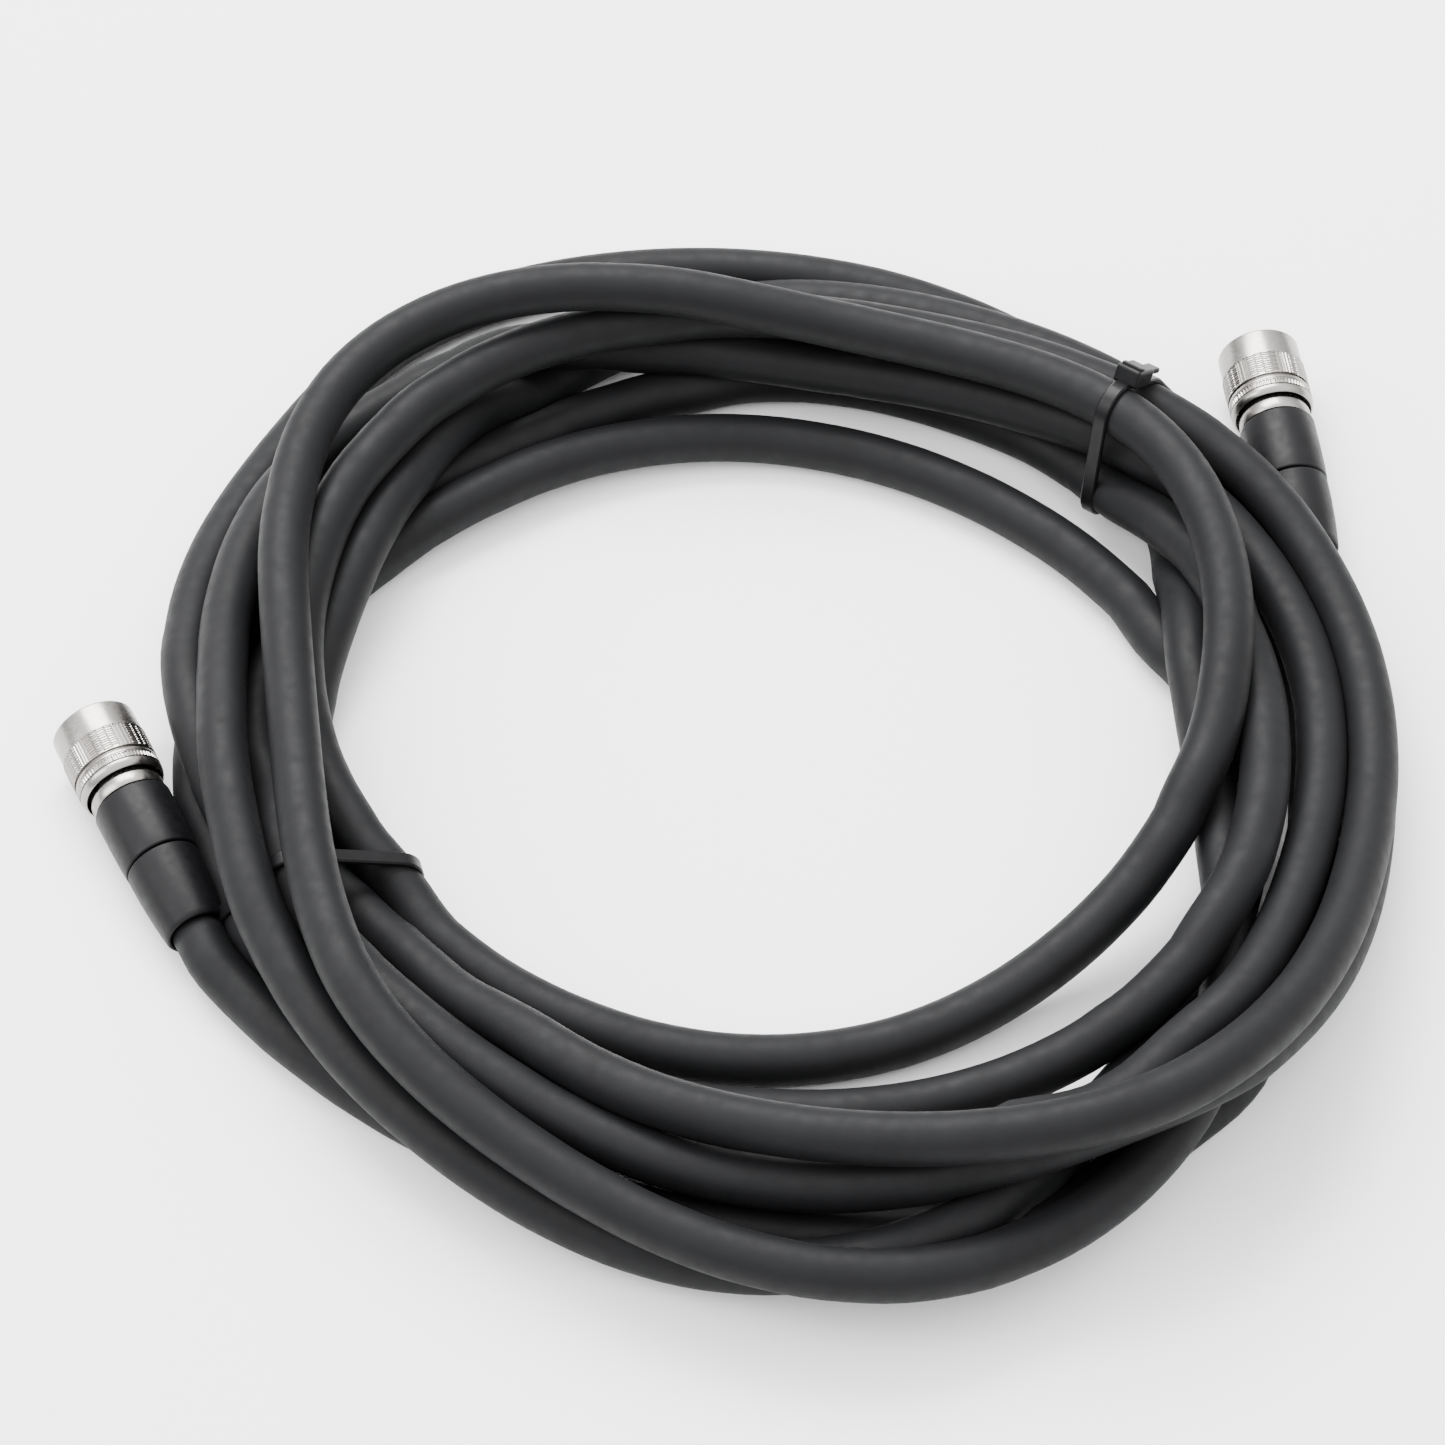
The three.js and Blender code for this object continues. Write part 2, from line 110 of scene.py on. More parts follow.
# Stations along the cable from the left plug to the right one, by strand, as they were read in the
# photograph's pixels. The third number is the height of the strand's middle in cable diameters above the
# lowest layer, and a strand's number is how firmly it keeps to its line of sight.
ROUTE = [
    ("tail", 0.8, [
        (216, 965, 0.3), (247, 1000, 0), (272, 1022, 0), (335, 1074, 0), (373, 1098, 0),
        (433, 1132, 0)]),
    ("bottom_low", 0.6, [
        (500, 1165, 0), (560, 1190, 0), (620, 1208, 0), (700, 1225, 0), (780, 1235, 0),
        (860, 1238, 0), (940, 1232, 0), (1020, 1213, 0), (1100, 1178, 0), (1170, 1130, 0)]),
    ("right_low", 0.3, [
        (1235, 1072, 0), (1272, 1020, 0), (1293, 960, 0), (1304, 900, 0), (1309, 840, 0),
        (1310, 780, 0), (1308, 720, 0), (1300, 655, 0), (1276, 600, 0), (1246, 550, 0),
        (1212, 500, 0), (1176, 445, 0.2)]),
    ("top_second", 1, [
        (1130, 393, 0.5), (1070, 366, 0.5), (978, 331, 0.5), (895, 313, 0.5), (822, 304, 0.5),
        (733, 302, 0.5), (660, 325, 0.5)]),
    ("left_third", 1, [
        (610, 355, 0.3), (566, 378, 0.2), (495, 408, 0.2), (433, 447, 0.1), (413, 472, 0.1),
        (383, 510, 0), (363, 555, 0), (342, 600, 0), (320, 640, 0), (308, 680, 0), (303, 720, 0),
        (306, 770, 0.2), (315, 820, 0.6), (332, 865, 0.9)]),
    ("bottom_top", 1, [
        (354, 905, 1), (387, 946, 1.2), (415, 969, 1.3), (445, 990, 1.5), (490, 1018, 1.5),
        (548, 1054, 1.5), (629, 1092, 1.7), (712, 1116, 1.9), (780, 1129, 2), (860, 1137, 2),
        (920, 1138, 2), (980, 1136, 2), (1060, 1127, 2), (1120, 1113, 2), (1170, 1095, 2),
        (1210, 1072, 2), (1250, 1044, 2), (1285, 1011, 2), (1310, 984, 2), (1328, 954, 1.9),
        (1345, 910, 1.8), (1361, 855, 1.6), (1370, 802, 1.5), (1373, 760, 1.5), (1371, 718, 1.5),
        (1364, 678, 1.5), (1356, 647, 1.5), (1340, 608, 1.6), (1321, 573, 1.7), (1301, 543, 1.7),
        (1280, 513, 1.6), (1253, 478, 1.3), (1208, 442, 1)]),
    ("top_third", 1, [
        (1180, 427, 1), (1115, 393, 1), (1040, 360, 1), (962, 344, 1), (915, 336, 1), (865, 330, 1),
        (780, 320, 1), (700, 318, 1), (650, 323, 1)]),
    ("left_second", 1, [
        (600, 330, 1), (562, 337, 1), (525, 347, 1), (490, 363, 1), (451, 386, 1), (412, 415, 1),
        (376, 450, 1), (345, 490, 1), (328, 530, 1), (313, 570, 1), (303, 605, 1), (297, 650, 1),
        (304, 712, 1), (314, 752, 1), (327, 785, 1), (340, 814, 1), (357, 850, 1)]),
    ("bottom_inner", 1, [
        (384, 893, 1), (425, 930, 1), (466, 961, 1), (507, 990, 1), (549, 1012, 1), (591, 1028, 1),
        (640, 1046, 1), (700, 1059, 1), (740, 1062, 1), (780, 1063, 1), (820, 1060, 1),
        (860, 1053, 1), (910, 1040, 1), (950, 1023, 1), (1012, 990, 1), (1055, 958, 1),
        (1100, 918, 1), (1140, 874, 1), (1169, 838, 1), (1188, 800, 1.2), (1206, 758, 1.4),
        (1217, 728, 1.5), (1226, 685, 1.6), (1231, 640, 1.6), (1229, 605, 1.7), (1224, 575, 1.8),
        (1218, 545, 1.9), (1205, 508, 2), (1190, 475, 2), (1175, 452, 2), (1150, 427, 2)]),
    ("front", 1, [
        (1108, 401, 2), (1052, 379, 2), (1000, 363, 2), (940, 349, 2), (880, 336, 2), (820, 322, 2),
        (760, 309, 2), (700, 298, 2), (640, 288, 2), (600, 285, 2), (560, 286, 2), (512, 292, 2),
        (448, 310, 2), (410, 327, 2), (377, 348, 2), (338, 380, 2), (317, 412, 2), (304, 445, 2),
        (295, 480, 2), (289, 511, 2), (286, 560, 2), (286, 600, 2), (288, 640, 2), (291, 680, 2),
        (294, 713, 2), (298, 760, 2), (303, 800, 2), (308, 840, 2), (314, 880, 2), (322, 915, 2),
        (335, 952, 1.8), (352, 985, 1.6), (380, 1025, 1.4)]),
    ("bottom_front", 1, [
        (420, 1068, 1.2), (465, 1103, 1.1), (505, 1132, 1), (560, 1171, 1), (600, 1194, 1),
        (640, 1217, 1), (680, 1235, 0.9), (720, 1250, 0.7), (760, 1261, 0.6), (800, 1270, 0.4),
        (840, 1273, 0.2), (900, 1273, 0), (960, 1267, 0), (1000, 1258, 0), (1060, 1234, 0.2),
        (1110, 1200, 0.6), (1150, 1160, 1), (1185, 1115, 1)]),
    ("right_inner_low", 0.8, [
        (1208, 1060, 0.8), (1222, 1000, 0.3), (1230, 950, 0), (1229, 893, 0), (1220, 842, 0),
        (1212, 795, 0.1), (1205, 750, 0.4), (1200, 725, 0.7), (1193, 690, 1), (1187, 655, 1.1),
        (1178, 590, 1), (1170, 545, 0.7), (1158, 495, 0.3), (1135, 445, 0), (1100, 400, 0),
        (1050, 362, 0)]),
    ("top_back", 1, [
        (1000, 336, 0), (940, 313, 0), (900, 298, 0), (860, 288, 0), (800, 278, 0), (740, 273, 0),
        (700, 271, 0), (660, 272, 0), (615, 277, 0), (560, 284, 0), (512, 294, 0), (448, 312, 0),
        (390, 345, 0), (340, 389, 0), (300, 436, 0)]),
    ("left_outer", 1, [
        (266, 478, 0), (236, 514, 0), (212, 548, 0), (195, 587, 0), (190, 613, 0), (189, 640, 0),
        (190, 668, 0), (193, 698, 0.3), (198, 725, 0.6), (205, 748, 0.8), (214, 770, 0.8),
        (230, 805, 0.8), (252, 852, 0.8), (285, 905, 0.6), (325, 955, 0.3)]),
    ("bottom_fourth", 0.7, [
        (380, 1005, 0), (450, 1045, 0), (520, 1072, 0), (590, 1092, 0), (660, 1106, 0),
        (730, 1113, 0), (800, 1115, 0), (860, 1114, 0), (920, 1107, 0), (980, 1092, 0),
        (1040, 1069, 0), (1090, 1044, 0.1), (1130, 1018, 0.3), (1170, 985, 0.6), (1205, 940, 0.8),
        (1232, 895, 0.9), (1247, 860, 0.9), (1258, 825, 0.9), (1263, 790, 0.9), (1265, 750, 0.9),
        (1262, 715, 0.9), (1252, 675, 0.9), (1238, 635, 0.9), (1221, 598, 0.9)]),
    ("top_inner", 1, [
        (1200, 566, 0.8), (1175, 540, 0.7), (1145, 515, 0.5), (1095, 470, 0.3), (1048, 445, 0),
        (1006, 427, 0), (966, 414, 0), (905, 397, 0), (845, 383, 0), (800, 376, 0), (765, 376, 0),
        (735, 379, 0), (693, 388, 0), (643, 400, 0)]),
    ("left_wedge", 0.8, [
        (596, 413, 0), (541, 430, 0), (500, 447, 0), (455, 472, 0), (415, 500, 0), (370, 530, 0),
        (320, 565, 0), (270, 608, 0), (230, 655, 0)]),
    ("left_edge", 1, [
        (207, 700, 0), (198, 735, 0), (197, 770, 0), (201, 810, 0), (208, 840, 0), (220, 875, 0),
        (238, 905, 0), (268, 937, 0), (310, 972, 0)]),
    ("right_third", 0.8, [
        (370, 1012, 0), (450, 1050, 0), (540, 1085, 0.3), (640, 1112, 0.6), (720, 1126, 1),
        (800, 1142, 1), (880, 1150, 1), (940, 1152, 1), (1000, 1150, 1), (1050, 1141, 1),
        (1100, 1120, 1), (1131, 1099, 1), (1173, 1069, 1), (1216, 1028, 1), (1262, 968, 1),
        (1288, 908, 1), (1305, 855, 1), (1318, 803, 1), (1323, 760, 1), (1323, 735, 1),
        (1320, 700, 1), (1312, 665, 1), (1300, 632, 1), (1285, 605, 1), (1268, 577, 1),
        (1245, 545, 1), (1215, 512, 1), (1180, 483, 1), (1140, 458, 1)]),
    ("top_fourth", 1, [
        (1095, 437, 1), (1050, 416, 1), (1008, 404, 1), (966, 394, 1), (925, 384, 1), (885, 375, 1),
        (845, 369, 1), (803, 362, 1), (762, 358, 1), (702, 353, 1), (643, 351, 0.9), (566, 348, 0.5),
        (500, 354, 0.2)]),
    ("left_hidden", 0.6, [
        (452, 372, 0), (412, 398, 0), (370, 427, 0), (330, 450, 0.4)]),
    ("left_front", 1, [
        (293, 470, 0.9), (271, 496, 1), (257, 522, 1), (243, 552, 1), (231, 597, 1), (225, 624, 1),
        (222, 652, 1), (220, 680, 1.1), (221, 720, 1.3), (223, 750, 1.5), (229, 799, 1.7),
        (237, 828, 1.7), (253, 885, 1.6), (268, 928, 1.4), (284, 962, 1.2), (304, 1000, 1),
        (323, 1028, 1), (343, 1053, 1), (375, 1080, 1), (410, 1110, 1), (454, 1148, 0.7),
        (493, 1176, 0.3), (532, 1199, 0), (571, 1219, 0), (610, 1238, 0), (648, 1251, 0),
        (686, 1262, 0), (724, 1268, 0), (762, 1270, 0), (820, 1264, 0), (880, 1253, 0),
        (940, 1236, 0), (1000, 1212, 0), (1045, 1170, 0), (1085, 1120, 0), (1125, 1075, 0),
        (1168, 1028, 0)]),
    ("inner_hoop", 0.9, [
        (1205, 990, 0), (1225, 930, 0), (1238, 870, 0), (1240, 800, 0), (1226, 740, 0),
        (1190, 668, 0), (1152, 619, 0), (1117, 586, 0), (1080, 560, 0), (1040, 531, 0),
        (1000, 507, 0), (960, 489, 0), (920, 473, 0), (880, 461, 0), (840, 450, 0), (800, 442, 0),
        (760, 438, 0), (720, 437, 0), (660, 439, 0), (618, 446, 0), (576, 457, 0), (532, 470, 0),
        (490, 485, 0), (449, 502, 0), (408, 530, 0), (380, 555, 0), (343, 588, 0), (305, 625, 0)]),
    ("left_gap", 0.5, [
        (270, 665, 0), (256, 715, 0), (253, 760, 0), (258, 810, 0), (272, 860, 0), (296, 905, 0),
        (330, 945, 0)]),
    ("bottom_second", 0.9, [
        (365, 975, 0.8), (400, 1008, 1), (440, 1038, 1), (500, 1080, 1), (560, 1116, 1),
        (640, 1152, 1), (706, 1175, 1), (782, 1183, 1), (860, 1186, 1), (936, 1178, 1),
        (1011, 1158, 1), (1048, 1144, 1), (1086, 1125, 1), (1130, 1105, 1)]),
    ("right_edge", 0.5, [
        (1180, 1085, 1), (1232, 1062, 1), (1282, 1030, 0.8), (1320, 988, 0.4), (1346, 935, 0.1),
        (1362, 883, 0), (1369, 833, 0), (1368, 780, 0), (1364, 720, 0), (1355, 655, 0),
        (1340, 610, 0.2), (1322, 578, 0.3)]),
]


def ray(x, y):
    """The direction of a pixel's line of sight."""
    v = VIEW + IMAGE_RIGHT * (x - PHOTO_CENTRE) / FOCAL_PIXELS - IMAGE_UP * (y - PHOTO_CENTRE) / FOCAL_PIXELS
    return v / np.linalg.norm(v)


def at_height(x, y, z):
    """The point of a pixel's line of sight at this height."""
    v = ray(x, y)
    return CAMERA_PLACE + v * (z - CAMERA_PLACE[2]) / v[2]


def plug_axes():
    """The front rim's middle and the direction towards the cable, in mm, from the record's mating faces."""
    found = {}
    for mount in frame["record"]["mounts"]:
        for side in SIDES:
            if mount["name"] == f"mating_face_{side}":
                out = np.array(mount["axis"], float)
                out /= np.linalg.norm(out)
                found[side] = (np.array(mount["pos_m"]) / MM + out * INSERT_FRONT, -out)
    return found


PLUGS = plug_axes()


def through_points(p, steps):
    """A Catmull-Rom curve through the points, with this many steps a span."""
    q = np.vstack([2 * p[0] - p[1], p, 2 * p[-1] - p[-2]])
    t = np.linspace(0, 1, steps, endpoint=False)[:, None]
    out = []
    for i in range(len(p) - 1):
        a, b, c, d = q[i : i + 4]
        square = (2 * a - 5 * b + 4 * c - d) * t**2
        cube = (3 * b - a - 3 * c + d) * t**3
        out.append(b + 0.5 * ((c - a) * t + square + cube))
    out.append(p[-1:])
    return np.vstack(out)


def even_steps(p, step):
    """The same line in equal steps. Columns past the third are carried along."""
    for _ in range(2):
        s = np.concatenate([[0], np.cumsum(np.linalg.norm(np.diff(p[:, :3], axis=0), axis=1))])
        t = np.linspace(0, s[-1], int(round(s[-1] / step)) + 1)
        p = np.stack([np.interp(t, s, p[:, k]) for k in range(p.shape[1])], -1)
    return p


def smoothed(p, reach, share):
    """Moves each node towards the cubic through its neighbours at one and two reaches."""
    near = p[reach : -3 * reach] + p[3 * reach : -reach]
    far = p[: -4 * reach] + p[4 * reach :]
    q = p.copy()
    q[2 * reach : -2 * reach] += share * ((4 * near - far) / 6 - p[2 * reach : -2 * reach])
    return q


def plug_beads():
    """The plugs as rows of fixed spheres that the cable lies against."""
    places, radii = [], []
    for side in SIDES:
        rim, axis = PLUGS[side]
        for s in np.arange(1.5, PLUG_LENGTH, BEAD_STEP):
            if s < SLEEVE_END + SLEEVE_TRAVEL:
                radius = SLEEVE_BEAD
            elif s < BACKSHELL_END:
                radius = BACKSHELL_BEAD
            else:
                radius = RELIEF_BEAD - RELIEF_BEAD_TAPER * (s - RELIEF_START) / (PLUG_LENGTH - RELIEF_START)
            places.append(rim + axis * s)
            radii.append(radius)
    return np.array(places), np.array(radii)


def push_apart(p, i, j, count):
    """The sum of half pushes that bring touching nodes a diameter apart, and how many each node gets."""
    diff = p[i] - p[j]
    dist = np.linalg.norm(diff, axis=1)
    over = np.maximum(CABLE_DIAMETER - dist, 0)
    act = over > 0
    push = (0.5 * over / np.maximum(dist, 1e-6))[:, None] * diff
    total = np.zeros_like(p)
    np.add.at(total, i[act], push[act])
    np.add.at(total, j[act], -push[act])
    np.add.at(count, i[act], 1)
    np.add.at(count, j[act], 1)
    return total


def push_off_beads(p, i, j, beads, radii, count):
    """The sum of pushes that bring nodes clear of the plugs' spheres, added to how many each node gets."""
    diff = p[i] - beads[j]
    dist = np.linalg.norm(diff, axis=1)
    over = np.maximum(radii[j] + CABLE_RADIUS - dist, 0)
    act = over > 0
    total = np.zeros_like(p)
    np.add.at(total, i[act], ((over / np.maximum(dist, 1e-6))[:, None] * diff)[act])
    np.add.at(count, i[act], 1)
    return total


def route_stations():
    """The stations in space with each one's firmness and strand number, plugs' ends included."""
    rows = []
    for number, (_, hold, stations) in enumerate(ROUTE):
        for x, y, layer in stations:
            place = at_height(x, y, CABLE_RADIUS + layer * CABLE_DIAMETER)
            rows.append([*place, hold, number])
    ends = []
    for side, number in (("left", 0), ("right", len(ROUTE) - 1)):
        rim, axis = PLUGS[side]
        mouth = rim + axis * (PLUG_LENGTH - CABLE_IN_BOOT)
        ends.append([[*mouth, 1, number], [*(mouth + axis * STRAIGHT_EXIT), 1, number]])
    return np.array(ends[0] + rows + ends[1][::-1])


def settle():
    """Relaxes the cable. Returns its nodes and each node's strand number."""
    rows = even_steps(through_points(route_stations(), 8), ROUTE_STEP)
    p = smoothed(rows[:, :3].copy(), 4, 0.6)
    hold, strand = rows[:, 3], np.rint(rows[:, 4]).astype(int)
    sight = p - CAMERA_PLACE
    sight /= np.linalg.norm(sight, axis=1)[:, None]
    n = len(p)
    fixed = np.zeros(n, bool)
    fixed[:FIXED_NODES] = True
    fixed[-FIXED_NODES:] = True
    start = p.copy()
    beads, radii = plug_beads()
    for turn in range(SETTLE_TURNS):
        if turn % NEIGHBOUR_TURNS == 0:
            apart = ((p[:, None, :] - p[None, :, :]) ** 2).sum(-1)
            i, j = np.nonzero(np.triu(apart < (CABLE_DIAMETER + NEIGHBOUR_MARGIN) ** 2, OWN_NODES))
            apart = ((p[:, None, :] - beads[None]) ** 2).sum(-1)
            bi, bj = np.nonzero(apart < (radii[None] + CABLE_RADIUS + BEAD_MARGIN) ** 2)
            # The cable's ends run into their own plugs, so they aren't pushed off them
            from_left = (bi < NODES_BY_PLUG) & (bj < len(beads) // 2)
            from_right = (bi >= n - NODES_BY_PLUG) & (bj >= len(beads) // 2)
            clear = ~(from_left | from_right)
            bi, bj = bi[clear], bj[clear]
        p[:, 2] -= SINK
        off = p - CAMERA_PLACE
        off -= (off * sight).sum(1)[:, None] * sight
        p -= (SIGHT_PULL * hold)[:, None] * off
        for reach, share in SMOOTHINGS:
            p = smoothed(p, reach, share)
        for _ in range(PUSHES):
            count = np.zeros(n)
            total = push_apart(p, i, j, count) + push_off_beads(p, bi, bj, beads, radii, count)
            p += PUSH * total / np.maximum(count, 1)[:, None]
            p[:, 2] = np.maximum(p[:, 2], CABLE_RADIUS)
        p[fixed] = start[fixed]
    return p, strand


CABLE_LINE, CABLE_STRAND = settle()
STRAND_NAMES = [name for name, _, _ in ROUTE]


# Meshes are made in metres from here on


def linked(name, data):
    """A new object of this name in the scene."""
    made = bpy.data.objects.new(name, data)
    bpy.context.scene.collection.objects.link(made)
    return made


def new_piece(name, verts, faces):
    """A smooth-shaded piece."""
    mesh = bpy.data.meshes.new(name)
    mesh.from_pydata([tuple(v) for v in verts], [], [tuple(f) for f in faces])
    mesh.validate()
    mesh.polygons.foreach_set("use_smooth", [True] * len(mesh.polygons))
    return linked(name, mesh)


def sharp_by_angle(piece, degrees=35):
    """Keeps the edges between faces that meet at more than this angle crisp."""
    bm = bmesh.new()
    bm.from_mesh(piece.data)
    limit = math.radians(degrees)
    for edge in bm.edges:
        edge.smooth = not (len(edge.link_faces) == 2 and edge.calc_face_angle() > limit)
    bm.to_mesh(piece.data)
    bm.free()
    return piece


def tube(name, line, radius, sides):
    """A closed tube along a line, its section carried along without twist."""
    tangent = np.gradient(line, axis=0)
    tangent /= np.linalg.norm(tangent, axis=1)[:, None]
    normal = np.zeros_like(line)
    side = np.cross(tangent[0], [0, 0, 1])
    normal[0] = side / np.linalg.norm(side)
    for i in range(1, len(line)):
        side = normal[i - 1] - tangent[i] * (normal[i - 1] @ tangent[i])
        normal[i] = side / np.linalg.norm(side)
    binormal = np.cross(tangent, normal)
    turn = np.arange(sides) * 2 * math.pi / sides
    ring = np.cos(turn)[None, :, None] * normal[:, None] + np.sin(turn)[None, :, None] * binormal[:, None]
    verts = (line[:, None] + radius * ring).reshape(-1, 3)
    faces = [
        (i * sides + k, i * sides + (k + 1) % sides, (i + 1) * sides + (k + 1) % sides, (i + 1) * sides + k)
        for i in range(len(line) - 1)
        for k in range(sides)
    ]
    faces.append(tuple(range(sides))[::-1])
    last = (len(line) - 1) * sides
    faces.append(tuple(range(last, last + sides)))
    return new_piece(name, verts, faces)


def plug_frame(side):
    """The matrix from a plug's own frame, +Z from its front rim towards the cable, to the row frame."""
    rim, axis = PLUGS[side]
    z = Vector(axis)
    x = z.cross(Vector((0, 0, 1))).normalized()
    y = z.cross(x)
    turn = Matrix((x, y, z)).transposed().to_4x4()
    return Matrix.Translation(Vector(rim) * MM) @ turn @ Matrix.Diagonal((MM, MM, MM, 1))


def lathe(name, side, profile, segments, shift=None):
    """A solid of revolution about a plug's axis. The profile is (radius, along) in mm, and runs closed or
    from axis to axis. shift moves a point outwards by its turn and its place along the axis."""
    on_axis = [abs(r) < 1e-9 for r, _ in profile]
    closed = not any(on_axis)
    verts, rows = [], []
    for (radius, along), axial in zip(profile, on_axis):
        if axial:
            rows.append([len(verts)] * segments)
            verts.append((0, 0, along))
            continue
        rows.append(list(range(len(verts), len(verts) + segments)))
        for k in range(segments):
            turn = 2 * math.pi * k / segments
            r = radius + (shift(turn, radius, along) if shift else 0)
            verts.append((r * math.cos(turn), r * math.sin(turn), along))
    faces = []
    spans = range(len(rows)) if closed else range(len(rows) - 1)
    for i in spans:
        a, b = rows[i], rows[(i + 1) % len(rows)]
        for k in range(segments):
            face = [a[k], a[(k + 1) % segments], b[(k + 1) % segments], b[k]]
            face = list(dict.fromkeys(face))
            if len(face) > 2:
                faces.append(face)
    piece = new_piece(name, verts, faces)
    piece.data.transform(plug_frame(side))
    bm = bmesh.new()
    bm.from_mesh(piece.data)
    bmesh.ops.recalc_face_normals(bm, faces=bm.faces)
    bm.to_mesh(piece.data)
    bm.free()
    return sharp_by_angle(piece)


def fillet(r0, s0, r1, s1, steps=4):
    """Points of a quarter round between a face at the first point and a side at the second."""
    points = []
    for k in range(1, steps):
        t = 0.5 * math.pi * k / steps
        points.append((r0 + (r1 - r0) * math.sin(t), s0 + (s1 - s0) * (1 - math.cos(t))))
    return points


# Materials


def material(name, color, rough, metal=0.0):
    mat = bpy.data.materials.new(name)
    mat.use_nodes = True
    shader = mat.node_tree.nodes["Principled BSDF"]
    shader.inputs["Base Color"].default_value = (*color, 1)
    shader.inputs["Roughness"].default_value = rough
    shader.inputs["Metallic"].default_value = metal
    return mat, mat.node_tree, shader


def noise(tree, scale, detail=3.0, rough=0.5, stretch=(1, 1, 1)):
    place = tree.nodes.new("ShaderNodeTexCoord")
    mapping = tree.nodes.new("ShaderNodeMapping")
    mapping.inputs["Scale"].default_value = stretch
    grain = tree.nodes.new("ShaderNodeTexNoise")
    grain.inputs["Scale"].default_value = scale
    grain.inputs["Detail"].default_value = detail
    grain.inputs["Roughness"].default_value = rough
    tree.links.new(place.outputs["Object"], mapping.inputs["Vector"])
    tree.links.new(mapping.outputs["Vector"], grain.inputs["Vector"])
    return grain.outputs["Fac"]


def ramp(tree, factor, stops):
    node = tree.nodes.new("ShaderNodeValToRGB")
    elements = node.color_ramp.elements
    while len(elements) < len(stops):
        elements.new(0.5)
    for element, (place, color) in zip(elements, stops):
        element.position = place
        element.color = (*color, 1)
    tree.links.new(factor, node.inputs["Fac"])
    return node.outputs["Color"]


def grey(v):
    return (v, v, v)


def tinted(color, share):
    """The colour, this many times as bright."""
    return tuple(share * c for c in color)


def spread(tree, factor, low, high, target):
    """Maps a noise onto a range of one number of the shader."""
    node = tree.nodes.new("ShaderNodeMapRange")
    node.inputs["From Min"].default_value = 0.3
    node.inputs["From Max"].default_value = 0.7
    node.inputs["To Min"].default_value = low
    node.inputs["To Max"].default_value = high
    tree.links.new(factor, node.inputs["Value"])
    tree.links.new(node.outputs["Result"], target)


def bump(tree, shader, factor, strength, distance):
    node = tree.nodes.new("ShaderNodeBump")
    node.inputs["Strength"].default_value = strength
    node.inputs["Distance"].default_value = distance
    tree.links.new(factor, node.inputs["Height"])
    tree.links.new(node.outputs["Normal"], shader.inputs["Normal"])


def jacket_material():
    """Matte dark grey PVC with a fine grain, a faint mottle and a few pale rubs."""
    mat, tree, shader = material("jacket", JACKET_COLOR, 0.5)
    shader.inputs["Specular IOR Level"].default_value = BLACK_SPECULAR
    mottle = noise(tree, 130, 5, 0.6)
    base = ramp(tree, mottle, [(0.3, tinted(JACKET_COLOR, 0.88)), (0.7, tinted(JACKET_COLOR, 1.14))])
    rubs = noise(tree, 240, 6, 0.7, (1, 1.6, 1))
    pale = ramp(tree, rubs, [(0.72, grey(0)), (0.8, grey(1))])
    mix = tree.nodes.new("ShaderNodeMix")
    mix.data_type = "RGBA"
    mix.inputs["B"].default_value = (*tinted(JACKET_COLOR, 2.4), 1)
    tree.links.new(pale, mix.inputs["Factor"])
    tree.links.new(base, mix.inputs["A"])
    tree.links.new(mix.outputs["Result"], shader.inputs["Base Color"])
    spread(tree, noise(tree, 420, 4), 0.52, 0.64, shader.inputs["Roughness"])
    bump(tree, shader, noise(tree, 3200, 2), 0.12, 0.00015)
    return mat


def nickel_material():
    """Satin nickel plate with fine turning marks and a little tarnish."""
    mat, tree, shader = material("satin_nickel", NICKEL_COLOR, 0.28, 1.0)
    cloud = noise(tree, 300, 4, 0.6)
    color = ramp(tree, cloud, [(0.3, tinted(NICKEL_COLOR, 0.93)), (0.7, NICKEL_COLOR)])
    tree.links.new(color, shader.inputs["Base Color"])
    spread(tree, noise(tree, 900, 5, 0.7), 0.22, 0.34, shader.inputs["Roughness"])
    bump(tree, shader, noise(tree, 5000, 2), 0.05, 0.00005)
    return mat


def gold_material():
    """Gold plate, a little uneven in its polish."""
    mat, tree, shader = material("contact_gold", GOLD_COLOR, 0.25, 1.0)
    spread(tree, noise(tree, 1200, 3), 0.2, 0.34, shader.inputs["Roughness"])
    return mat


def black_material(name, color, low, high, grain, strength):
    """Black plastic or rubber between two roughnesses, with a grain of this scale and strength."""
    mat, tree, shader = material(name, color, low)
    cloud = noise(tree, 350, 4, 0.6)
    tint = ramp(tree, cloud, [(0.3, tinted(color, 0.8)), (0.7, tinted(color, 1.25))])
    tree.links.new(tint, shader.inputs["Base Color"])
    shader.inputs["Specular IOR Level"].default_value = BLACK_SPECULAR
    spread(tree, noise(tree, 700, 4), low, high, shader.inputs["Roughness"])
    bump(tree, shader, noise(tree, grain, 2), strength, 0.0001)
    return mat


